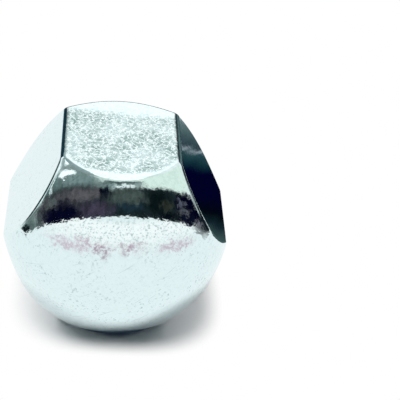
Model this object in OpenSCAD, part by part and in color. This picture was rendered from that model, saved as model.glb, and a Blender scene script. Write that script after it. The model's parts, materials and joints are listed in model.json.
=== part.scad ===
/* [Hexagon] */
// Width across the flats
across_flats = 19; // [17:0.5:22]
// Radius of the rounded corners between the flats
corner_r = 0.8; // [0.3:0.1:1.4]

/* [Outside] */
// Height from the bearing face to the top of the dome
nut_h = 18.5; // [16:0.5:24]
// How far the dome's radius passes the corners of the hexagon
dome_over = 0.45; // [0.3:0.05:1.5]
// Radius that softens each curved edge between the dome and a flat
rim_r = 1; // [0.4:0.1:1.4]
// How far the edge of the bearing face lies inside the flats
bearing_in = 0.2; // [0.15:0.05:1]
// Slope of the turned chamfer, in degrees from the bearing face
bearing_slope = 49; // [30:1:60]
// Radius of the edge between the bearing face and its chamfer
bearing_edge_r = 0.3; // [0.1:0.05:0.4]

/* [Hole] */
// Outer diameter of the thread
thread_d = 12; // [10:0.5:13]
// Pitch of the thread
pitch = 1.5; // [1:0.25:2]
// Widening of the plain relief past the thread, across its diameter
relief_clear = 0.5; // [0.2:0.1:1]
// Depth of the relief from the bearing face
relief_depth = 3.4; // [1:0.1:6]
// Slope of the lead from the relief down to the thread, in degrees from the axis
lead_slope = 45; // [30:1:60]
// Width of the countersink round the mouth
mouth_w = 0.4; // [0.1:0.1:1]
// Full angle of the drill point at the bottom of the hole
point_angle = 118; // [90:1:140]
// Metal left between the drill point and the top of the dome
crown_wall = 1.85; // [1:0.05:4]

/* [Hidden] */
$fn = 96;
SIDES = 6;
TURN = 360 / SIDES;
// Reach of a cutting shape past the surface that it cuts
OVER = 1;

half_af = across_flats / 2;
// Centre of a rounded corner, and the corner itself, from the axis
corner_at = (half_af - corner_r) / cos(TURN / 2);
corner_reach = corner_at + corner_r;

dome_r = corner_reach + dome_over;
// The dome's centre, where the straight hexagon ends and the dome begins
dome_z = nut_h - dome_r;
bearing_r = half_af - bearing_in;

relief_r = (thread_d + relief_clear) / 2;
// The tapping drill is the thread's diameter less one pitch
bore_r = (thread_d - pitch) / 2;
lead_h = (relief_r - bore_r) / tan(lead_slope);
point_h = bore_r / tan(point_angle / 2);
bore_depth = nut_h - crown_wall - point_h;

// The rim's arc meets the flat and the dome at this small angle
RIM_MEET = 3;
rim_y = half_af - rim_r * cos(RIM_MEET);
rim_x = sqrt(pow(dome_r, 2) + pow(rim_r, 2) - 2 * dome_r * rim_r * cos(RIM_MEET) - pow(rim_y, 2));
FAR = 2 * dome_r;

// Hexagon with flats square to Y and a true arc at each corner
module hexagon_outline() {
    polygon([for (k = [0 : SIDES - 1], side = [-1, 1])
        let (corner = k * TURN, tangent = corner + side * TURN / 2)
        corner_at * [cos(corner), sin(corner)] + corner_r * [cos(tangent), sin(tangent)]]);
    for (k = [0 : SIDES - 1])
        rotate(k * TURN) translate([corner_at, 0]) circle(r = corner_r);
}

// Half section of the turned end: bearing face, its rounded edge and the chamfer
module bearing_outline() {
    edge_t = bearing_edge_r * tan(bearing_slope / 2);
    chamfer_w = corner_reach + OVER - bearing_r;
    polygon([
        [0, 0],
        [bearing_r - edge_t, 0],
        [bearing_r + edge_t * cos(bearing_slope), edge_t * sin(bearing_slope)],
        [bearing_r + chamfer_w, chamfer_w * tan(bearing_slope)],
        [bearing_r + chamfer_w, nut_h],
        [0, nut_h],
    ]);
    translate([bearing_r - edge_t, bearing_edge_r]) circle(r = bearing_edge_r);
}

// The straight hexagon, from the chamfered bearing face to the dome's centre
module hexagon_end() {
    intersection() {
        linear_extrude(dome_z) hexagon_outline();
        rotate_extrude() bearing_outline();
    }
}

// Half section that rounds one rim, turned round the line from the dome's centre square to a flat
module rim_outline() {
    arc_at = [rim_x, rim_y];
    polygon([
        [0, -FAR],
        [FAR, -FAR],
        arc_at * FAR / norm(arc_at),
        arc_at,
        [rim_x, half_af + OVER],
        [0, half_af + OVER],
    ]);
    translate(arc_at) circle(r = rim_r);
}

// Rounds the rims of flats 0 to last on the shape given to it
module with_rims(last) {
    intersection() {
        if (last > 0) with_rims(last - 1) children();
        else children();
        rotate(last * TURN) translate([0, 0, dome_z]) rotate([-90, 0, 0]) rotate_extrude() rim_outline();
    }
}

// The domed end: the hexagon runs on into a ball, which scallops each flat
module domed_end() {
    with_rims(SIDES - 1) intersection() {
        translate([0, 0, dome_z]) linear_extrude(dome_r) hexagon_outline();
        translate([0, 0, dome_z]) sphere(r = dome_r);
    }
}

// Half section of the stepped blind hole, from past the mouth to the drill point
module hole_outline() {
    polygon([
        [0, -OVER],
        [relief_r + mouth_w + OVER, -OVER],
        [relief_r, mouth_w],
        [relief_r, relief_depth],
        [bore_r, relief_depth + lead_h],
        [bore_r, bore_depth],
        [0, bore_depth + point_h],
    ]);
}

// The nut lies on a flat with its dome towards -Y, and the origin is the centre of its bearing face
module cap_nut() {
    color([0.79, 0.82, 0.83])
        rotate([90, 0, 0])
            difference() {
                union() {
                    hexagon_end();
                    domed_end();
                }
                rotate_extrude() hole_outline();
            }
}

cap_nut();
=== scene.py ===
import json
import math
from types import SimpleNamespace

import bmesh
import bpy
import numpy as np
from mathutils import Matrix, Vector

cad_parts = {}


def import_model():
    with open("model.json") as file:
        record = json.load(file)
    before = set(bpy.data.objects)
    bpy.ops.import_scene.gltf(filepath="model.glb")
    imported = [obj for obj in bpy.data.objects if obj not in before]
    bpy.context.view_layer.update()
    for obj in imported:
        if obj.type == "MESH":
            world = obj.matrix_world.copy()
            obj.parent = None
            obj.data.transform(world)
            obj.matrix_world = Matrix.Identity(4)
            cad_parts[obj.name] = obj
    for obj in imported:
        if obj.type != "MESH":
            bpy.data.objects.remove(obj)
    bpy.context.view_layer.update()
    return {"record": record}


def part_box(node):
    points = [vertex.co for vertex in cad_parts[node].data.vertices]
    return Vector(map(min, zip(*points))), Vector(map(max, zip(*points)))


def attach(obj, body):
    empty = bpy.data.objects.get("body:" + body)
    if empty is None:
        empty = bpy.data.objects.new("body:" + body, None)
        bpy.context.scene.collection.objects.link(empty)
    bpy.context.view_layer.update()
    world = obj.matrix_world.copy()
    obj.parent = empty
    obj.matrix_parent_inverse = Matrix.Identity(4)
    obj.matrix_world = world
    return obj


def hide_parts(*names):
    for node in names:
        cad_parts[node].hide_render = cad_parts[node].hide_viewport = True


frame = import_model()

# Shapes are worked out in millimetres and scaled to metres once, when a mesh is finished.
MM = 0.001


# Sizes of the nut, read from the frame
low, high = (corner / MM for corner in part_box("cap_nut"))
HALF_FLATS = (high.z - low.z) / 2
NUT_HEIGHT = -low.y
CORNER_REACH = high.x


def mount_radius(name):
    """Radius of one of the nut's bores, in millimetres."""
    return next(m["dims"]["r_mm"] for m in frame["record"]["mounts"] if m["name"] == name)


RELIEF_R = mount_radius("relief")
BORE_R = mount_radius("thread")

# Outside
SIDES = 6
TURN = 2 * math.pi / SIDES
CORNER_R = (HALF_FLATS / math.cos(TURN / 2) - CORNER_REACH) / (1 / math.cos(TURN / 2) - 1)
DOME_OVER = 0.45
DOME_R = CORNER_REACH + DOME_OVER
DOME_AT = NUT_HEIGHT - DOME_R
RIM_R = 1.0
BEARING_IN = 0.2
BEARING_R = HALF_FLATS - BEARING_IN
BEARING_SLOPE = math.radians(49)
BEARING_EDGE_R = 0.3
BACK_EDGE_R = 0.35

# Hole
MOUTH_W = 0.4
RELIEF_DEPTH = 3.4
BORE_DEPTH = 13.4955
POINT_HALF_ANGLE = math.radians(118 / 2)

# Thread M12 x 1.5: the roots reach the full 12 mm, and the crests are the tapped hole
PITCH = 1.5
ROOT_R = 6.03
FLANK_HALF_ANGLE = math.radians(30)
THREAD_FROM = 3.56
THREAD_TO = 12.6
RUNOUT = 2.2

# Meshing: columns round the nut for each side of the hexagon, drawn together at its corners
SIDE_COLUMNS = 48
COLUMNS = SIDES * SIDE_COLUMNS
THREAD_COLUMNS = 144
# Even rows along each stretch of the outside, from the dome's pole to the mouth
DOME_ROWS, FLAT_ROWS, CHAMFER_ROWS, FACE_ROWS = 44, 16, 5, 8
# Length of a step over the mouth and relief, and how close points merge and open rings are found
MOUTH_STEP = 0.3
MERGE = 1e-4
RING_REACH = 0.2
# Rounds that bring a point of the sharp form to rest on the rounded one
SETTLE_ROUNDS = 6


def hexagon_reach(angle):
    """Distance from the axis to the rounded hexagon, with the angle measured from the top flat."""
    from_corner = np.abs(angle % TURN - TURN / 2)
    corner_at = (HALF_FLATS - CORNER_R) / math.cos(TURN / 2)
    on_arc = from_corner < TURN / 2 - math.atan2(corner_at * math.sin(TURN / 2), HALF_FLATS)
    side = np.where(on_arc, corner_at * np.sin(from_corner), 0)
    arc = corner_at * np.cos(from_corner) + np.sqrt(CORNER_R ** 2 - side ** 2)
    return np.where(on_arc, arc, HALF_FLATS / np.cos(TURN / 2 - from_corner))


def drawn_to_corners(angle):
    """Moves evenly spaced angles towards the hexagon's corners, which need the closest columns."""
    half = TURN / 2
    even = [0, half * 0.17, half * 0.25, half]
    drawn = [0, half * 0.071, half * 0.105, half]
    side = np.floor(angle / TURN)
    from_corner = np.abs(angle - (side + 0.5) * TURN)
    moved = np.interp(from_corner, even, drawn)
    return (side + 0.5) * TURN + np.copysign(moved, angle - (side + 0.5) * TURN)


FINE = np.cumsum([0.06, 0.07, 0.07, 0.08, 0.1, 0.15, 0.25, 0.4])


def stations(length, middle, fine=FINE, start=True, end=True):
    """Distances along a stretch, one row each: close together next to its edges, even between them."""
    length = np.asarray(length, float)
    squeeze = np.minimum(1, 0.4 * length / fine[-1])
    first = [step * squeeze for step in fine] if start else []
    last = [length - step * squeeze for step in fine[::-1]] if end else []
    near = first[-1] if start else 0 * length
    far = last[0] if end else length
    steps = np.arange(1, middle) / middle
    return np.array([*first, *(near + (far - near) * t for t in steps), *last])


def sharp_outside(angle):
    """Rows of points over the nut's outside with sharp edges, from the dome's pole to the hole.

    Each row is an array of (radius, depth) for the given angles. Depth is measured from the bearing face."""
    reach = hexagon_reach(angle)
    rim = np.arcsin(reach / DOME_R)
    front = DOME_AT + np.sqrt(DOME_R ** 2 - reach ** 2)
    back = (reach - BEARING_R) * math.tan(BEARING_SLOPE)
    chamfer = np.hypot(reach - BEARING_R, back)
    mouth_r = RELIEF_R + MOUTH_W
    rows = [(0 * reach, 0 * reach + NUT_HEIGHT)]
    for arc in stations(DOME_R * rim, DOME_ROWS, start=False):
        rows.append((DOME_R * np.sin(arc / DOME_R), DOME_AT + DOME_R * np.cos(arc / DOME_R)))
    rows.append((reach, front))
    for drop in stations(front - back, FLAT_ROWS):
        rows.append((reach, front - drop))
    rows.append((reach, back))
    for down in stations(chamfer, CHAMFER_ROWS):
        rows.append((reach - down * math.cos(BEARING_SLOPE), back - down * math.sin(BEARING_SLOPE)))
    rows.append((0 * reach + BEARING_R, 0 * reach))
    for inward in stations(BEARING_R - mouth_r + 0 * reach, FACE_ROWS, end=False):
        rows.append((BEARING_R - inward, 0 * reach))
    return rows


def meet(one, other, radius):
    """Joins two faces of a solid with a round edge.

    A face is (how far a point lies outside it, its outward direction there)."""
    (a, a_out), (b, b_out) = one, other
    cosine = np.sum(a_out * b_out, axis=-1)
    sine_squared = np.maximum(1 - cosine ** 2, 1e-6)
    a_share = ((a + radius) - (b + radius) * cosine) / sine_squared
    b_share = ((b + radius) - (a + radius) * cosine) / sine_squared
    spoke = a_share[..., None] * a_out + b_share[..., None] * b_out
    size = np.maximum(np.linalg.norm(spoke, axis=-1), 1e-9)
    on_edge = (a_share > 0) & (b_share > 0) & (1 - cosine ** 2 > 1e-5)
    distance = np.where(on_edge, size - radius, np.maximum(a, b))
    outward = np.where((a > b)[..., None], a_out, b_out)
    return distance, np.where(on_edge[..., None], spoke / size[..., None], outward)


def rounded_outside(point):
    """How far points lie outside the nut with its edges rounded, and the outward direction there."""
    x, depth, z = point[..., 0], -point[..., 1], point[..., 2]
    radius = np.hypot(x, z)
    angle = np.arctan2(x, z)

    past_centre = np.maximum(depth - DOME_AT, 0)
    to_dome = np.sqrt(radius ** 2 + past_centre ** 2)
    dome = to_dome - DOME_R, np.stack([x, -past_centre, z], axis=-1) / to_dome[..., None]

    along, across = math.cos(BEARING_SLOPE), math.sin(BEARING_SLOPE)
    round_x, round_z = x / radius, z / radius
    chamfer = ((radius - BEARING_R) * across - depth * along,
               np.stack([round_x * across, 0 * x + along, round_z * across], axis=-1))
    bearing = -depth, np.stack([0 * x, 0 * x + 1, 0 * x], axis=-1)

    nearest = np.round(angle / TURN)
    sides = []
    for step in (0, 1):
        number = nearest + step * np.sign(angle - nearest * TURN + 1e-12)
        out = np.stack([np.sin(number * TURN), 0 * x, np.cos(number * TURN)], axis=-1)
        sides.append((np.sum(point * out, axis=-1) - HALF_FLATS, out))
    hexagon = meet(*sides, CORNER_R)
    domed = meet(hexagon, dome, RIM_R)
    return meet(meet(domed, chamfer, BACK_EDGE_R), bearing, BEARING_EDGE_R)


def settle(point):
    """Moves points from the sharp form onto the rounded one."""
    for _ in range(SETTLE_ROUNDS):
        distance, outward = rounded_outside(point)
        point = point - distance[..., None] * outward
    return point


def around_axis(radius, depth, angle):
    """Points at a radius, depth and angle; angle 0 is the top flat and the depth runs towards the dome."""
    return np.stack([radius * np.sin(angle), 0 * angle - depth, radius * np.cos(angle)], axis=-1)


def rounded_profile(corners, steps=4):
    """A turned profile through (radius, depth, edge radius) corners, with an arc in place of each corner."""
    points = [Vector(corner[:2]) for corner in corners]
    profile = [points[0]]
    for before, here, after, corner in zip(points, points[1:], points[2:], corners[1:]):
        to_before, to_after = (before - here).normalized(), (after - here).normalized()
        half = to_before.angle(to_after) / 2
        centre = here + (to_before + to_after).normalized() * corner[2] / math.sin(half)
        start = here + to_before * corner[2] / math.tan(half) - centre
        swing = start.angle_signed(here + to_after * corner[2] / math.tan(half) - centre)
        profile += [centre + Matrix.Rotation(-swing * k / steps, 2) @ start for k in range(steps + 1)]
    return profile + [points[-1]]


def spin_profile(form, profile, columns):
    """Turns a profile of (radius, depth) points once round the axis."""
    verts = [form.verts.new((0, -depth, radius)) for radius, depth in profile]
    edges = [form.edges.new(pair) for pair in zip(verts, verts[1:])]
    bmesh.ops.spin(form, geom=verts + edges, cent=(0, 0, 0), axis=(0, 1, 0), dvec=(0, 0, 0),
                   angle=2 * math.pi, steps=columns, use_merge=True)
    bmesh.ops.remove_doubles(form, verts=form.verts, dist=MERGE)


def outside_form():
    """The nut from the dome's pole over its flats, chamfer and bearing face to the start of the thread.

    A plain grid of rows and columns is wrapped round the nut, and its seam and its pole are merged."""
    angle = drawn_to_corners(np.arange(COLUMNS + 1) / COLUMNS * 2 * math.pi)
    rows = [around_axis(radius, depth, angle) for radius, depth in sharp_outside(angle)]
    outside = settle(np.array(rows[1:]))
    inside = [around_axis(radius, depth, angle) for radius, depth in mouth_profile()]
    places = np.concatenate([[rows[0]], outside, inside])
    form = bmesh.new()
    last = len(places) - 1
    bmesh.ops.create_grid(form, x_segments=COLUMNS, y_segments=last, size=0.5)
    for vert in form.verts:
        vert.co = places[round((vert.co.y + 0.5) * last), round((vert.co.x + 0.5) * COLUMNS)]
    bmesh.ops.remove_doubles(form, verts=form.verts, dist=MERGE)
    return form


def mouth_profile():
    """The countersunk mouth, the plain relief and the start of the lead down to the thread."""
    corners = [
        (RELIEF_R + MOUTH_W + 0.5, 0, 0),
        (RELIEF_R + MOUTH_W, 0, 0.12),
        (RELIEF_R, MOUTH_W, 0.12),
        (RELIEF_R, RELIEF_DEPTH, 0.05),
        (RELIEF_R - 0.14, RELIEF_DEPTH + 0.14, 0),
    ]
    profile = rounded_profile(corners)[1:]
    out = []
    for first, second in zip(profile, profile[1:]):
        steps = max(1, round((second - first).length / MOUTH_STEP))
        out += [first.lerp(second, k / steps) for k in range(steps)]
    return [tuple(p) for p in out + [profile[-1]]]


def thread_profile():
    """One pitch of the thread as (distance along the axis, radius), from one root to the next."""
    root_half = PITCH / 16
    flank = (ROOT_R - BORE_R) * math.tan(FLANK_HALF_ANGLE)
    half = [
        (0, ROOT_R),
        (root_half * 0.6, ROOT_R),
        (root_half * 1.1, ROOT_R - 0.03),
        (root_half + flank * 0.2, ROOT_R - 0.2 * (ROOT_R - BORE_R)),
        (root_half + flank * 0.5, ROOT_R - 0.5 * (ROOT_R - BORE_R)),
        (root_half + flank * 0.85, ROOT_R - 0.85 * (ROOT_R - BORE_R)),
        (root_half + flank * 1.05, BORE_R + 0.02),
        (root_half + flank * 1.25, BORE_R),
        (PITCH / 2, BORE_R),
    ]
    return half + [(PITCH - along, radius) for along, radius in half[-2::-1]]


def lead_radius(depth):
    """Radius of the cone that leads from the relief down to the thread."""
    return RELIEF_R - (depth - RELIEF_DEPTH)


def thread_form():
    """The right-handed thread: one turn is swept along its helix and repeated, and both ends are cut."""
    form = bmesh.new()
    turns = math.ceil((THREAD_TO - THREAD_FROM) / PITCH) + 1
    deepest = THREAD_TO + PITCH
    verts = [form.verts.new((0, along - deepest, radius)) for along, radius in thread_profile()]
    edges = [form.edges.new(pair) for pair in zip(verts, verts[1:])]
    bmesh.ops.spin(form, geom=verts + edges, cent=(0, 0, 0), axis=(0, 1, 0),
                   dvec=(0, PITCH / THREAD_COLUMNS, 0), angle=2 * math.pi, steps=THREAD_COLUMNS)
    one_turn = [*form.verts, *form.edges, *form.faces]
    for turn in range(1, turns):
        copy = bmesh.ops.duplicate(form, geom=one_turn)["geom"]
        bmesh.ops.translate(form, vec=(0, PITCH * turn, 0),
                            verts=[part for part in copy if isinstance(part, bmesh.types.BMVert)])
    bmesh.ops.remove_doubles(form, verts=form.verts, dist=1e-3)
    for depth, side in ((THREAD_FROM, 1), (THREAD_TO, -1)):
        geom = [*form.verts, *form.edges, *form.faces]
        bmesh.ops.bisect_plane(form, geom=geom, dist=MERGE, plane_co=(0, -depth, 0),
                               plane_no=(0, side, 0), clear_outer=True)
    for vert in form.verts:
        depth = -vert.co.y
        radius = math.hypot(vert.co.x, vert.co.z)
        fade = min(1, max(0, (THREAD_TO - depth) / RUNOUT))
        cut = max(BORE_R + (radius - BORE_R) * fade, lead_radius(depth))
        vert.co.x *= cut / radius
        vert.co.z *= cut / radius
    return form


def bottom_form():
    """The plain end of the tapped hole and its drill point."""
    form = bmesh.new()
    point = BORE_R / math.tan(POINT_HALF_ANGLE)
    corners = [
        (BORE_R, THREAD_TO + 0.15, 0),
        (BORE_R, BORE_DEPTH, 0.2),
        (0, BORE_DEPTH + point, 0),
    ]
    spin_profile(form, [tuple(p) for p in rounded_profile(corners)], THREAD_COLUMNS)
    return form


def add_form(whole, form):
    """Moves one form into the whole mesh."""
    held = bpy.data.meshes.new("held")
    form.to_mesh(held)
    form.free()
    whole.from_mesh(held)
    bpy.data.meshes.remove(held)


def close_gap(form, depth):
    """Bridges the two open rings on either side of a depth."""
    rings = [edge for edge in form.edges
             if edge.is_boundary and abs(-edge.verts[0].co.y - depth) < RING_REACH]
    bmesh.ops.bridge_loops(form, edges=rings)


def make_nut():
    """The nut as one closed mesh, scaled to metres."""
    whole = bmesh.new()
    for form in (outside_form(), thread_form(), bottom_form()):
        add_form(whole, form)
    close_gap(whole, THREAD_FROM)
    close_gap(whole, THREAD_TO)
    bmesh.ops.recalc_face_normals(whole, faces=whole.faces)
    bmesh.ops.scale(whole, vec=(MM, MM, MM), verts=whole.verts)
    for face in whole.faces:
        face.smooth = True
    mesh = bpy.data.meshes.new("cap_nut_forged")
    whole.to_mesh(mesh)
    whole.free()
    nut = bpy.data.objects.new("cap_nut_forged", mesh)
    bpy.context.scene.collection.objects.link(nut)
    return nut


# Materials

# Settings that many nodes share
SMOOTH = {"interpolation_type": "SMOOTHSTEP"}
COLOURS = {"data_type": "RGBA"}
TIMES = {"operation": "MULTIPLY"}
TIMES_PLUS = {"operation": "MULTIPLY_ADD"}
MINUS = {"operation": "SUBTRACT"}
DIVIDED = {"operation": "DIVIDE"}
LARGER = {"operation": "MAXIMUM"}
BELOW = {"operation": "LESS_THAN"}
UNSIGNED = {"operation": "ABSOLUTE"}
LENGTH = {"operation": "LENGTH"}
DOT = {"operation": "DOT_PRODUCT"}

# Heights of the relief that is too fine for the mesh, in millimetres
GRAIN_HEIGHT = 0.029
RIPPLE_HEIGHT = 0.012
TURNING_HEIGHT = 0.012

# The grain of the flats: millimetres from hill to hill, and how it is drawn out along each axis
GRAIN = 0.4
GRAIN_DRAWN = (0.85, 0.75, 1)
# Millimetres from one turned ring to the next
RING = 0.14
# Scratches across the dome: their slant, and how many cross a metre along each axis
SCORE_SLANT = math.radians(35)
SCORES = (0.3 / MM, 0.3 / MM, 8 / MM)

# The other patterns of the finish: millimetres from one hill or speck to the next, detail and roughness
PATTERNS = {
    "grain_edge": (2.0, 2.0, 0.5),
    "scratches": (0.3, 4.0, 0.7),
    "ripple": (0.5, 2.0, 0.5),
    "specks": (0.3, 3.0, 0.7),
    "cluster": (2.2, 2.0, 0.5),
    "uneven": (0.55, 3.0, 0.7),
    "mottle": (0.45, 3.0, 0.65),
    "fine": (0.22, 3.0, 0.7),
    "curdled": (0.55, 4.0, 0.75),
    "broken": (0.32, 3.0, 0.7),
}

# Roughness of the mirror-like plate, and of the grain and the turned faces
MIRROR_ROUGHNESS = 0.045
DULL_ROUGHNESS = 0.25

# Pink stains of the passivate on the dome: middle and half size in millimetres to the right and up,
# softness as a share of the size, colour and level
STAINS = [
    ((-4.6, 4.2), (1.5, 0.35), 0.8, "c6bcc8", 1),
    ((-2.6, 4.65), (1.6, 0.4), 0.8, "c0b6c2", 1),
    ((-1.3, 4.4), (0.65, 0.5), 0.7, "a698a6", 1),
    ((1.3, 4.7), (0.85, 0.45), 0.8, "b0a2b0", 1),
    ((4.7, 4.45), (1.0, 0.35), 0.8, "c2b8c4", 1),
    ((6.0, 4.1), (0.9, 0.3), 0.8, "c2b8c4", 1),
]


def linear(hex_colour):
    """An sRGB hex colour as linear red, green, blue and alpha."""
    parts = [int(hex_colour[k:k + 2], 16) / 255 for k in (0, 2, 4)]
    return (*[c / 12.92 if c <= 0.04045 else ((c + 0.055) / 1.055) ** 2.4 for c in parts], 1)


def add_node(tree, kind, settings=None, stops=(), **inputs):
    """Adds a shader node with its settings and links.

    An input is a value, an output, or a node, which stands for its first output in use. Its name has _ for a
    space, or is a number as in i0, i1. The two colours of a Mix are i6 and i7. Stops fill a colour ramp."""
    node = tree.nodes.new("ShaderNode" + kind)
    for name, value in (settings or {}).items():
        setattr(node, name, value)
    for name, value in inputs.items():
        numbered = name[0] == "i" and name[1:].isdigit()
        socket = node.inputs[int(name[1:])] if numbered else node.inputs[name.replace("_", " ")]
        if isinstance(value, bpy.types.Node):
            value = next(output for output in value.outputs if output.enabled)
        if isinstance(value, bpy.types.NodeSocket):
            tree.links.new(value, socket)
        else:
            socket.default_value = value
    for number, (at, colour) in enumerate(stops):
        spread = node.color_ramp.elements
        if number == 0:
            spread.remove(spread[1])
        stop = spread.new(at) if number else spread[0]
        stop.position = at
        stop.color = linear(colour)
    return node


def new_tree(holder):
    """An empty node tree for a material or a world."""
    holder.use_nodes = True
    holder.node_tree.nodes.clear()
    return holder.node_tree


def paint(tree, ground, place, patches):
    """Lays soft-edged oval patches over a ground colour."""
    for (x, y), (wide, tall), soft, colour, level in patches:
        scaled = add_node(tree, "VectorMath", TIMES_PLUS,
                          i0=place, i1=(1 / wide, 1 / tall, 0), i2=(-x / wide, -y / tall, 0))
        far = add_node(tree, "VectorMath", LENGTH, i0=scaled)
        share = add_node(tree, "MapRange", SMOOTH, Value=far,
                         From_Min=1 - soft, From_Max=1 + soft, To_Min=1.0, To_Max=0.0)
        ground = add_node(tree, "Mix", COLOURS, Factor=share, i6=ground,
                          i7=[level * part for part in linear(colour)])
    return ground


def zones(tree, place, pattern):
    """Where a point of the nut lies, and its share in each zone of the finish, from 0 to 1.

    Depth and radius are in millimetres, x and z in metres."""
    split = add_node(tree, "SeparateXYZ", Vector=place)
    depth = add_node(tree, "Math", TIMES, i0=split.outputs["Y"], i1=-1 / MM)
    radius = add_node(tree, "VectorMath", TIMES, i0=place, i1=(1, 0, 1))
    radius = add_node(tree, "VectorMath", LENGTH, i0=radius)
    radius = add_node(tree, "Math", DIVIDED, i0=radius, i1=MM)
    past_centre = add_node(tree, "Math", MINUS, i0=depth, i1=DOME_AT)
    past_centre = add_node(tree, "Math", LARGER, i0=past_centre, i1=0.0)
    from_centre = add_node(tree, "CombineXYZ", X=radius, Y=past_centre)
    from_centre = add_node(tree, "VectorMath", LENGTH, i0=from_centre)

    dome = add_node(tree, "MapRange", SMOOTH, Value=from_centre,
                    From_Min=DOME_R - 0.3, From_Max=DOME_R - 0.06)
    outside = add_node(tree, "MapRange", SMOOTH, Value=radius,
                       From_Min=HALF_FLATS - 0.3, From_Max=HALF_FLATS - 0.05)

    # The turned faces are all that is neither dome nor outside, and the bore is painted darker with its
    # depth, as painted shade and for its thinner plate
    turned = add_node(tree, "Math", LARGER, i0=outside, i1=dome)
    turned = add_node(tree, "Math", MINUS, i0=1.0, i1=turned)
    bored = add_node(tree, "MapRange", Value=radius, From_Min=RELIEF_R + MOUTH_W - 0.1,
                     From_Max=RELIEF_R + MOUTH_W, To_Min=1.0, To_Max=0.0)
    bored = add_node(tree, "Math", TIMES, i0=bored, i1=turned)
    bore_shade_and_plate = add_node(tree, "MapRange", SMOOTH, Value=depth, From_Min=1.0, From_Max=9.0)
    bore_shade_and_plate = add_node(tree, "Math", TIMES, i0=bore_shade_and_plate, i1=bored)

    # The flats, with a plain margin along the foremost part of each rim
    margin = add_node(tree, "MapRange", SMOOTH, Value=from_centre,
                      From_Min=DOME_R - 0.5, From_Max=DOME_R - 0.22)
    foremost = add_node(tree, "MapRange", SMOOTH, Value=depth, From_Min=11.5, From_Max=12.5)
    margin = add_node(tree, "Math", TIMES, i0=margin, i1=foremost)
    margin = add_node(tree, "Math", LARGER, i0=margin, i1=dome)
    flat = add_node(tree, "Math", {"operation": "SUBTRACT", "use_clamp": True}, i0=outside, i1=margin)

    # The grain fades out along a wavy line next to the bearing face
    grained = add_node(tree, "Math", TIMES_PLUS, i0=pattern["grain_edge"], i1=-1.6, i2=depth)
    grained = add_node(tree, "Math", TIMES_PLUS, i0=split.outputs["X"], i1=-0.05 / MM, i2=grained)
    grained = add_node(tree, "MapRange", SMOOTH, Value=grained,
                       From_Min=1.1, From_Max=2.4, To_Min=0.2, To_Max=1.0)
    return SimpleNamespace(x=split.outputs["X"], z=split.outputs["Z"], depth=depth, radius=radius,
                           dome=dome, turned=turned, bore_shade_and_plate=bore_shade_and_plate, flat=flat, grained=grained)


def relief(tree, pattern, at):
    """Turning marks, grain and ripple as bump, one on the other, and the share of grain at a point."""
    # Fine rings on the bearing face and in the bore, broken up by short scratches
    rings = add_node(tree, "CombineXYZ", X=at.radius, Y=at.depth)
    rings = add_node(tree, "TexNoise", Vector=rings, Scale=1 / RING, Detail=2.0)
    marks = add_node(tree, "Math", TIMES_PLUS, i0=pattern["scratches"], i1=0.8, i2=rings)
    marks = add_node(tree, "Math", TIMES, i0=marks, i1=at.turned)
    marks = add_node(tree, "Bump", Strength=1.0, Distance=TURNING_HEIGHT * MM, Height=marks)

    # Orange-peel grain, full only on the level flats
    level = add_node(tree, "Math", UNSIGNED, i0=at.z)
    level = add_node(tree, "MapRange", Value=level, From_Min=(HALF_FLATS - 0.08) * MM,
                     From_Max=(HALF_FLATS - 0.01) * MM, To_Min=0.05, To_Max=1.0)
    grain = add_node(tree, "Math", TIMES, i0=at.flat, i1=at.grained)
    grain = add_node(tree, "Math", TIMES, i0=grain, i1=level)
    peel = add_node(tree, "Math", TIMES, i0=grain, i1=pattern["grain"])
    peel = add_node(tree, "Bump", Strength=1.0, Distance=GRAIN_HEIGHT * MM, Height=peel, Normal=marks)

    # A slight ripple, most on the dome below its upper edge
    calm = add_node(tree, "MapRange", SMOOTH, Value=at.z,
                    From_Min=6.5 * MM, From_Max=8.5 * MM, To_Min=1.0, To_Max=0.5)
    calm = add_node(tree, "Math", TIMES, i0=calm, i1=at.dome)
    calm = add_node(tree, "Math", LARGER, i0=calm, i1=0.35)
    ripple = add_node(tree, "Math", TIMES, i0=pattern["ripple"], i1=calm)
    ripple = add_node(tree, "Bump", Strength=1.0, Distance=RIPPLE_HEIGHT * MM, Height=ripple, Normal=peel)
    return ripple, grain


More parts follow.
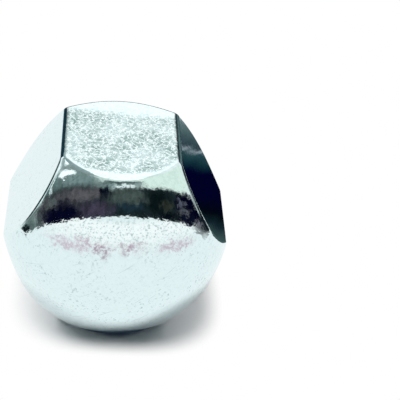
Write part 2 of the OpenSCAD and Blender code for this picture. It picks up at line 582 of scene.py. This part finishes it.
def plate_colour(tree, place, pattern, at):
    """A cool white metal with faint grey specks, painted shade in the grain's valleys and painted highlights
    on its crests, and a bore painted darker with depth, as shade and for its thinner plate.
    """
    specks = add_node(tree, "MapRange", SMOOTH, Value=pattern["specks"], From_Min=0.52, From_Max=0.75)
    cluster = add_node(tree, "MapRange", SMOOTH, Value=pattern["cluster"],
                       From_Min=0.4, From_Max=0.62, To_Min=0.2, To_Max=0.8)
    specks = add_node(tree, "Math", TIMES, i0=specks, i1=cluster)

    # The grain gets painted shade and painted highlights on the level flats, and to either side of their
    # middle also on their rounded edges
    to_side = add_node(tree, "Math", UNSIGNED, i0=at.x)
    to_side = add_node(tree, "MapRange", SMOOTH, Value=to_side,
                       From_Min=2.0 * MM, From_Max=3.4 * MM, To_Min=0.0, To_Max=0.14 * MM)
    painted_grain_light = add_node(tree, "Math", UNSIGNED, i0=at.z)
    painted_grain_light = add_node(tree, "Math", {"operation": "ADD"}, i0=painted_grain_light, i1=to_side)
    painted_grain_light = add_node(tree, "MapRange", Value=painted_grain_light, From_Min=(HALF_FLATS - 0.06) * MM,
                     From_Max=(HALF_FLATS - 0.01) * MM, To_Min=0.05, To_Max=1.0)
    painted_grain_light = add_node(tree, "Math", TIMES, i0=painted_grain_light, i1=at.grained)
    painted_grain_light = add_node(tree, "Math", TIMES, i0=painted_grain_light, i1=at.flat)
    off_middle = add_node(tree, "Math", MINUS, i0=pattern["grain"], i1=0.5)
    off_middle = add_node(tree, "Math", UNSIGNED, i0=off_middle)
    grain_crest_highlight = add_node(tree, "MapRange", SMOOTH, Value=off_middle,
                     From_Min=0.0, From_Max=0.035, To_Min=1.0, To_Max=0.0)
    grain_crest_highlight = add_node(tree, "Math", TIMES, i0=grain_crest_highlight, i1=painted_grain_light)
    grain_valley_shade = add_node(tree, "MapRange", SMOOTH, Value=off_middle, From_Min=0.0, From_Max=0.07)
    grain_valley_shade = add_node(tree, "Math", TIMES, i0=grain_valley_shade, i1=painted_grain_light)
    uneven = add_node(tree, "MapRange", Value=pattern["uneven"],
                      From_Min=0.35, From_Max=0.65, To_Min=0.4, To_Max=1.0)
    grain_valley_shade = add_node(tree, "Math", TIMES, i0=grain_valley_shade, i1=uneven)
    patchy = add_node(tree, "MapRange", Value=cluster, From_Min=0.2, From_Max=0.8, To_Min=1.0, To_Max=0.55)
    grain_valley_shade = add_node(tree, "Math", TIMES, i0=grain_valley_shade, i1=patchy)

    # Fine scratches across the dome
    scored = add_node(tree, "VectorRotate", {"rotation_type": "Y_AXIS"}, Vector=place, Angle=SCORE_SLANT)
    scored = add_node(tree, "VectorMath", TIMES, i0=scored, i1=SCORES)
    scored = add_node(tree, "TexNoise", Vector=scored, Scale=1.0, Detail=1.0)
    scored = add_node(tree, "MapRange", SMOOTH, Value=scored,
                      From_Min=0.69, From_Max=0.77, To_Min=0.0, To_Max=0.5)
    scored = add_node(tree, "Math", TIMES, i0=scored, i1=at.dome)

    # Painted dappling of the reflection on the dome, stronger towards its top, with light and grey flecks in
    # a belt under it
    upper = add_node(tree, "MapRange", SMOOTH, Value=at.z,
                     From_Min=2.5 * MM, From_Max=6 * MM, To_Min=0.1, To_Max=0.35)
    upper = add_node(tree, "Math", TIMES, i0=upper, i1=at.dome)
    mottle = add_node(tree, "MapRange", SMOOTH, Value=pattern["mottle"], From_Min=0.45, From_Max=0.62)
    mottle = add_node(tree, "Math", TIMES, i0=mottle, i1=upper)
    belt = add_node(tree, "MapRange", SMOOTH, Value=at.z, From_Min=3.8 * MM, From_Max=6 * MM)
    over = add_node(tree, "MapRange", SMOOTH, Value=at.z,
                    From_Min=6.4 * MM, From_Max=7 * MM, To_Min=1.0, To_Max=0.0)
    belt = add_node(tree, "Math", TIMES, i0=belt, i1=over)
    belt = add_node(tree, "Math", TIMES, i0=belt, i1=at.dome)
    lit = add_node(tree, "MapRange", SMOOTH, Value=pattern["fine"],
                   From_Min=0.46, From_Max=0.62, To_Min=0.8, To_Max=0.0)
    lit = add_node(tree, "Math", TIMES, i0=lit, i1=belt)
    fleck = add_node(tree, "MapRange", SMOOTH, Value=pattern["fine"],
                     From_Min=0.52, From_Max=0.68, To_Min=0.0, To_Max=0.8)
    fleck = add_node(tree, "Math", TIMES, i0=fleck, i1=belt)

    tones = [
        (at.turned, "c2cccd"),
        (specks, "9fb4b6"),
        # Painted dappling of the reflection on the upper dome
        (mottle, "c4d8d8"),
        (lit, "f6ffff"),
        (fleck, "a6babc"),
        # Painted shade in the grain's valleys, and painted highlights on its crests
        (grain_valley_shade, "779591"),
        (grain_crest_highlight, "f0fafa"),
        (scored, "a8babc"),
        # Painted shade in the bore, darker with depth, partly for its thinner plate
        (at.bore_shade_and_plate, "3a424a"),
    ]
    colour = linear("e1f2f4")
    for share, tone in tones:
        colour = add_node(tree, "Mix", COLOURS, Factor=share, i6=colour, i7=linear(tone))
    return colour


def pink_stains(tree, pattern, at, plain):
    """Broken pink stains on the front of the dome, over its plain colour."""
    right = add_node(tree, "Math", DIVIDED, i0=at.x, i1=MM)
    up = add_node(tree, "Math", DIVIDED, i0=at.z, i1=MM)
    front = add_node(tree, "CombineXYZ", X=right, Y=up)
    curdled = add_node(tree, "VectorMath", MINUS, i0=pattern["curdled"].outputs["Color"], i1=(0.5, 0.5, 0.5))
    front = add_node(tree, "VectorMath", TIMES_PLUS, i0=curdled, i1=(3.6, 2.6, 0), i2=front)
    facing = add_node(tree, "MapRange", Value=at.depth, From_Min=14, From_Max=15)
    broken = add_node(tree, "MapRange", SMOOTH, Value=pattern["broken"],
                      From_Min=0.36, From_Max=0.58, To_Min=0.15, To_Max=1.0)
    facing = add_node(tree, "Math", TIMES, i0=facing, i1=broken)
    return add_node(tree, "Mix", COLOURS, Factor=facing, i6=plain, i7=paint(tree, plain, front, STAINS))


def zinc_plate():
    """Bright zinc electroplate with a clear blue passivate on cold forged steel.

    The turned dome is a near mirror with a slight ripple, faint specks and pink stains. The flats keep
    the orange-peel grain of the forging die under the plate. The bearing face and the bore keep their
    turning marks."""
    material = bpy.data.materials.new("bright_zinc_plate")
    tree = new_tree(material)
    place = add_node(tree, "TexCoord").outputs["Object"]
    drawn = add_node(tree, "VectorMath", TIMES, i0=place, i1=GRAIN_DRAWN)
    grain = add_node(tree, "TexNoise", Vector=drawn, Scale=1 / (GRAIN * MM), Detail=3.0, Roughness=0.6)
    pattern = {"grain": grain}
    for name, (size, detail, roughness) in PATTERNS.items():
        pattern[name] = add_node(tree, "TexNoise", Vector=place, Scale=1 / (size * MM),
                                 Detail=detail, Roughness=roughness)

    at = zones(tree, place, pattern)
    bumps, grained = relief(tree, pattern, at)
    colour = pink_stains(tree, pattern, at, plate_colour(tree, place, pattern, at))
    dull = add_node(tree, "Math", LARGER, i0=grained, i1=at.turned)
    shine = add_node(tree, "MapRange", Value=dull, To_Min=MIRROR_ROUGHNESS, To_Max=DULL_ROUGHNESS)
    surface = add_node(tree, "BsdfPrincipled", Metallic=1.0, Base_Color=colour,
                       Roughness=shine, Normal=bumps)
    add_node(tree, "OutputMaterial", Surface=surface)
    return material


# Studio

def camera():
    """The photograph's camera: which point it looks at, from how far and from what direction."""
    aim = Vector((8.12, -7.14, 2.87)) * MM
    distance = 112 * MM
    elevation, heading, roll = (math.radians(a) for a in (36.52, 7.53, 7.28))
    turn = (Matrix.Rotation(-heading, 4, "Z") @ Matrix.Rotation(math.pi / 2 - elevation, 4, "X")
            @ Matrix.Rotation(roll, 4, "Z"))
    data = bpy.data.cameras.new("camera")
    data.lens = 102
    data.sensor_width = 36
    data.clip_start = 0.005
    made = bpy.data.objects.new("camera", data)
    made.matrix_world = Matrix.Translation(aim + turn @ Vector((0, 0, distance))) @ turn
    bpy.context.scene.collection.objects.link(made)
    bpy.context.scene.camera = made


def direction(azimuth, elevation):
    """A direction seen from the nut, in degrees: azimuth 0 is the front, 90 the right, 180 the back."""
    a, e = math.radians(azimuth), math.radians(elevation)
    return Vector((math.sin(a) * math.cos(e), -math.cos(a) * math.cos(e), math.sin(e)))


def white_where_seen(tree, dark):
    """A level that is 1 for what the camera and bright metal see, and dark for what lights the set."""
    path = add_node(tree, "LightPath")
    seen = add_node(tree, "Math", LARGER, i0=path.outputs["Is Camera Ray"], i1=path.outputs["Is Glossy Ray"])
    seen = add_node(tree, "Math", LARGER, i0=seen, i1=path.outputs["Is Transmission Ray"])
    direct = add_node(tree, "Math", BELOW, i0=path.outputs["Diffuse Depth"], i1=0.5)
    both = add_node(tree, "Math", TIMES, i0=seen, i1=direct)
    return add_node(tree, "MapRange", Value=both, To_Min=dark, To_Max=1.0)


def level_sheet(name, middle, size, height):
    """A level rectangle, with its middle, size and height in millimetres."""
    form = bmesh.new()
    bmesh.ops.create_grid(form, x_segments=1, y_segments=1, size=0.5)
    for vert in form.verts:
        vert.co = Vector((middle[0] + size[0] * vert.co.x, middle[1] + size[1] * vert.co.y, height)) * MM
    mesh = bpy.data.meshes.new(name)
    form.to_mesh(mesh)
    form.free()
    made = bpy.data.objects.new(name, mesh)
    bpy.context.scene.collection.objects.link(made)
    return made


# The painted shadow on the board: its middle, the half size of the oval where its colour is dark, and where
# the oval's edge is soft
SHADOW_AT = (0.6, -7)
SHADOW_HALF = (6.0, 8.5)
SHADOW_EDGE = (0.765, 0.87)
# The metal mirrors the painted shadow oval a little larger than the camera sees it
MIRRORED_SHRINK = 0.83
# How fast a painted glow brings the board to plain white on the way out, per millimetre, and from where to
# where it does; it sets where the shadow ends
WHITENING = (0.0905, 0.103)
WHITE_SEEN = (("Is Camera Ray", 0.74, 1.02), ("Is Glossy Ray", 0.82, 1.32))


def floor():
    """A white board whose colour is painted dark in an oval under the nut. Past the shadow a painted glow
    makes it plain white to the camera and the metal.
    """
    made = level_sheet("floor", (6, -5), (108, 130), low.z)
    material = bpy.data.materials.new("white_board")
    tree = new_tree(material)
    place = add_node(tree, "TexCoord").outputs["Object"]
    path = add_node(tree, "LightPath")
    (x, y), (wide, tall) = SHADOW_AT, SHADOW_HALF
    under = add_node(tree, "VectorMath", TIMES_PLUS, i0=place,
                     i1=(1 / (wide * MM), 1 / (tall * MM), 0), i2=(-x / wide, -y / tall, 0))
    under = add_node(tree, "VectorMath", LENGTH, i0=under)
    drawn_in = add_node(tree, "MapRange", Value=path.outputs["Is Glossy Ray"],
                        To_Min=1.0, To_Max=MIRRORED_SHRINK)
    under = add_node(tree, "Math", TIMES, i0=under, i1=drawn_in)
    under = add_node(tree, "MapRange", SMOOTH, Value=under, From_Min=SHADOW_EDGE[0], From_Max=SHADOW_EDGE[1])
    # Painted shadow: the board's own colour is dark blue-grey inside the oval
    shade = add_node(tree, "Mix", COLOURS, Factor=under, i6=linear("76849a"), i7=linear("f0f0f0"))
    board = add_node(tree, "BsdfDiffuse", Color=shade)

    # The way out is measured with cubes, so that the painted glow gives the shadow a rounded square outline
    wide, tall = WHITENING
    away = add_node(tree, "VectorMath", TIMES_PLUS, i0=place,
                    i1=(wide / MM, tall / MM, 0), i2=(-x * wide, -y * tall, 0))
    away = add_node(tree, "VectorMath", UNSIGNED, i0=away)
    squares = add_node(tree, "VectorMath", TIMES, i0=away, i1=away)
    away = add_node(tree, "VectorMath", DOT, i0=away, i1=squares)
    away = add_node(tree, "Math", {"operation": "POWER"}, i0=away, i1=1 / 3)
    shares = []
    for ray, start, end in WHITE_SEEN:
        share = add_node(tree, "MapRange", SMOOTH, Value=away, From_Min=start, From_Max=end)
        shares.append(add_node(tree, "Math", TIMES, i0=share, i1=path.outputs[ray]))
    first = add_node(tree, "Math", BELOW, i0=path.outputs["Diffuse Depth"], i1=0.5)
    plain = add_node(tree, "Math", LARGER, i0=shares[0], i1=shares[1])
    plain = add_node(tree, "Math", TIMES, i0=plain, i1=first)
    # Where the painted glow is full, the board shows plain white emission in place of its lit colour
    both = add_node(tree, "MixShader", i0=plain, i1=board, i2=add_node(tree, "Emission"))
    add_node(tree, "OutputMaterial", Surface=both)
    made.data.materials.append(material)


# The card's painted shades run along a slant, from one distance to another in millimetres, and a cloudy
# pattern shifts them by up to its reach
CARD_SLANT = -1.42
CARD_FROM, CARD_TO = -25, 5
CLOUD = 3
CLOUD_REACH = 3.4
CARD_SHADES = [
    (0.04, "465a5a"), (0.14, "14262c"), (0.22, "02060f"), (0.34, "020225"), (0.5, "020225"),
    (0.56, "12303a"), (0.62, "2a4a50"), (0.637, "2c4450"), (0.645, "98a2aa"), (0.66, "98a2aa"),
    (0.674, "2c3c46"), (0.74, "3c5056"), (0.82, "586c6e"), (0.9, "6c7c80"), (0.95, "ffffff"),
]


def dark_card():
    """A card flat on the board to the right of the nut, which only the metal mirrors. It glows in painted
    shades, dark with a light line, as a painted reflection for the right flat.
    """
    made = level_sheet("dark_card", (30, 35), (36, 62), low.z + 0.05)
    made.visible_camera = False
    made.visible_diffuse = False
    made.visible_shadow = False
    made.visible_transmission = False
    material = bpy.data.materials.new("dark_card")
    tree = new_tree(material)
    place = add_node(tree, "TexCoord").outputs["Object"]
    along = add_node(tree, "VectorMath", DOT, i0=place, i1=(CARD_SLANT / MM, 1 / MM, 0))
    cloud = add_node(tree, "TexNoise", Vector=place, Scale=1 / (CLOUD * MM), Detail=4.0, Roughness=0.65)
    along = add_node(tree, "Math", TIMES_PLUS, i0=cloud, i1=CLOUD_REACH, i2=along)
    along = add_node(tree, "MapRange", Value=along,
                     From_Min=CARD_FROM + CLOUD_REACH / 2, From_Max=CARD_TO + CLOUD_REACH / 2)
    shade = add_node(tree, "ValToRGB", stops=CARD_SHADES, Fac=along)
    # The card glows in its painted shades, though it is no lamp
    glow = add_node(tree, "Emission", Color=shade)
    add_node(tree, "OutputMaterial", Surface=glow)
    made.data.materials.append(material)


# What the bright metal mirrors past the front edge of the white tent. Each patch is its middle and half size
# in degrees round the opening's axis and away from it, its softness as a share of its size, its colour and
# its level.
OPENING = (6.5, -41)
ROOM = [
    ((-48, 134), (24, 12), 0.3, "97a2a0", 1),
    ((50, 120), (32, 18), 0.2, "f2fbf0", 1),
    ((-100, 93), (18, 12), 0.3, "7c8c88", 1),
    ((-91, 93), (5, 4), 0.5, "a4b0ac", 1),
    ((-110, 88), (12, 4), 0.5, "141e22", 1),
    ((-55, 114), (33, 16), 0.2, "6c7e7c", 1),
    ((-44, 122), (18, 7), 0.6, "869694", 1),
    ((-4, 113), (25, 6), 0.25, "8c9a98", 1),
    ((-46, 95), (46, 20), 0.25, "38393f", 1),
    ((20, 93), (58, 16.5), 0.1, "1e292c", 1),
    ((70, 87), (13, 7), 0.15, "101428", 1),
    ((0, 115.5), (20, 2.2), 0.4, "5e6c6a", 1),
    ((3, 111), (10, 1.3), 0.4, "ffffff", 1.3),
]
# Bright gaps of the tent, with clean edges
GAPS = [
    ((-67, 140), (5, 6), 0.3, "ffffff", 1.3),
    ((-60, 127), (10, 3), 0.3, "ffffff", 1.3),
    ((-66, 124.5), (4, 3), 0.4, "ffffff", 1.3),
    ((-62, 120), (1.4, 1), 0.4, "ffffff", 1.3),
    ((-75, 117), (1.6, 8), 0.5, "e8f0ee", 1.2),
    ((4, 149.5), (26, 21.5), 0.08, "ffffff", 1.3),
]
# Tints inside the dark part
DARK = [
    ((-40, 105), (22, 6), 0.6, "625c60", 1),
    ((-60, 98), (16, 4), 0.6, "2a2834", 1),
    ((-72, 101), (7, 5), 0.6, "5c6060", 1),
    ((-26, 90), (16, 7), 0.6, "4a4152", 1),
    ((-62, 89), (22, 8), 0.4, "060822", 1),
    ((-17, 106), (5, 6), 0.5, "060a1e", 1),
    ((6, 101), (18, 8), 0.6, "515a56", 1),
    ((8, 91), (14, 4), 0.6, "22323c", 1),
    ((34, 97), (12, 10), 0.6, "0c1618", 1),
    ((44, 94), (6, 5), 0.6, "333630", 1),
    ((45, 85), (10, 3), 0.6, "060c14", 1),
    ((66, 95), (14, 9), 0.3, "03041c", 1),
    ((80, 89), (5, 4), 0.3, "03041c", 1),
    ((60, 97), (4, 2.6), 0.4, "5e5e6c", 1),
    ((63, 90), (7, 3), 0.4, "58585f", 1),
    ((85, 84), (6, 2), 0.5, "7a7680", 1),
]
# The same for the far side of the room, in degrees to the right of straight behind and up from level
BACK = [
    ((0, 85), (400, 25), 0.4, "e4ebe2", 1),
    ((-52, 56), (34, 24), 0.3, "9cacac", 1),
    ((4, 54), (20, 32), 0.25, "ffffff", 1.3),
    ((-27, 36), (9, 14), 0.4, "a2b0b0", 1),
    ((-44, 29), (9, 6), 0.4, "ffffff", 1.3),
    ((25, 0), (72, 23), 0.12, "141e26", 1),
    ((-60, 2), (16, 15), 0.35, "2c4040", 1),
    ((-82, 14), (8, 26), 0.4, "e4f4f4", 1.1),
    ((-72, 31), (14, 6), 0.4, "ffffff", 1.2),
    ((34, 2), (10, 11), 0.5, "647a7c", 1),
    ((74, 8), (18, 5), 0.4, "a8b4b2", 1),
    ((-31, 8), (8, 15), 0.3, "1e3a46", 1),
    ((-31, -21), (16, 14), 0.25, "f4fbff", 1),
]

# How much of its white the world gives as light
WORLD_LEVEL = 0.13


def degrees_round(tree, view, right, up, ahead):
    """Two angles of a direction in degrees: round an axis from its upper side, and away from it."""
    x, y, z = (add_node(tree, "VectorMath", DOT, i0=view, i1=axis) for axis in (right, up, ahead))
    turned = add_node(tree, "Math", {"operation": "ARCTAN2"}, i0=x, i1=y)
    away = add_node(tree, "Math", {"operation": "ARCCOSINE"}, i0=z)
    both = add_node(tree, "CombineXYZ", X=turned, Y=away)
    return add_node(tree, "VectorMath", TIMES, i0=both, i1=(math.degrees(1), math.degrees(1), 0))


def world():
    """White all round, and for the metal also the room outside the tent."""
    made = bpy.data.worlds.new("studio")
    bpy.context.scene.world = made
    tree = new_tree(made)
    view = add_node(tree, "TexCoord").outputs["Generated"]

    upward, back = Vector((0, 0, 1)), Vector((0, 1, 0))
    place = degrees_round(tree, view, Vector((1, 0, 0)), back, -upward)
    level = add_node(tree, "VectorMath", {"operation": "ADD"}, i0=place, i1=(0, -90, 0))
    ground = paint(tree, linear("ffffff"), level, BACK)

    # Streaks shift the patches of the front a little, and the tints in the dark part more
    out = direction(*OPENING)
    up = (upward - out * out.z).normalized()
    place = degrees_round(tree, view, up.cross(out), up, out)
    streaks = add_node(tree, "VectorMath", TIMES, i0=place, i1=(0.3, 0.09, 0))
    streaks = add_node(tree, "TexNoise", Vector=streaks, Scale=1.0, Detail=3.0)
    shift = add_node(tree, "VectorMath", MINUS, i0=streaks.outputs["Color"], i1=(0.5, 0.5, 0.5))
    shift = add_node(tree, "VectorMath", TIMES_PLUS, i0=shift, i1=(11, 7, 0), i2=place)
    churned = add_node(tree, "VectorMath", MINUS, i0=shift, i1=place)
    churned = add_node(tree, "VectorMath", TIMES_PLUS, i0=churned, i1=(2.2, 1.8, 0), i2=place)
    room = paint(tree, ground, shift, ROOM)
    room = paint(tree, room, churned, DARK)

    # The dark part is uneven in brightness, and the bright part isn't
    uneven = add_node(tree, "VectorMath", TIMES, i0=place, i1=(0.22, 0.1, 0))
    uneven = add_node(tree, "TexNoise", Vector=uneven, Scale=1.0, Detail=4.0, Roughness=0.65)
    uneven = add_node(tree, "MapRange", Value=uneven, From_Min=0.3, From_Max=0.7, To_Min=0.55, To_Max=1.35)
    varied = add_node(tree, "VectorMath", {"operation": "SCALE"}, i0=room, Scale=uneven)
    bright = add_node(tree, "RGBToBW", Color=room)
    bright = add_node(tree, "MapRange", Value=bright, From_Min=0.1, From_Max=0.6)
    room = add_node(tree, "Mix", COLOURS, Factor=bright, i6=varied, i7=room)
    room = paint(tree, room, place, GAPS)

    # The tent's front sheet ends the dark part along one clean line
    sheet = add_node(tree, "VectorMath", DOT, i0=place, i1=(0.04, 1, 0))
    sheet = add_node(tree, "MapRange", SMOOTH, Value=sheet, From_Min=81, From_Max=82.4)
    room = add_node(tree, "Mix", COLOURS, Factor=sheet, i6=linear("ffffff"), i7=room)

    # Only the metal sees the room. The board is lit in pale blue, and the camera sees white.
    path = add_node(tree, "LightPath")
    seen = add_node(tree, "Mix", COLOURS, Factor=path.outputs["Is Glossy Ray"], i6=linear("d6e8f4"), i7=room)
    seen = add_node(tree, "Mix", COLOURS, Factor=path.outputs["Is Camera Ray"], i6=seen, i7=linear("ffffff"))
    back = add_node(tree, "Background", Color=seen, Strength=white_where_seen(tree, WORLD_LEVEL))
    add_node(tree, "OutputWorld", Surface=back)


# Metres from the nut to each lamp
LAMP_DISTANCE = 0.5


def lamp(name, azimuth, elevation, size, level):
    """A soft round lamp; the size is in millimetres, the level its plain brightness."""
    data = bpy.data.lights.new(name, "AREA")
    data.shape = "DISK"
    data.size = size * MM
    data.energy = level * math.pi * math.pi * (size * MM / 2) ** 2
    made = bpy.data.objects.new(name, data)
    made.location = direction(azimuth, elevation) * LAMP_DISTANCE
    made.rotation_mode = "QUATERNION"
    made.rotation_quaternion = (-made.location).to_track_quat("-Z", "Y")
    made.visible_camera = False
    made.visible_glossy = False
    bpy.context.scene.collection.objects.link(made)


nut = make_nut()
nut.data.materials.append(zinc_plate())
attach(nut, "root")
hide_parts("cap_nut")

camera()
floor()
dark_card()
world()
lamp("left_box", azimuth=-92, elevation=58, size=300, level=9.6)
lamp("right_box", azimuth=104, elevation=60, size=320, level=4.2)

bpy.context.scene.view_settings.view_transform = "Standard"
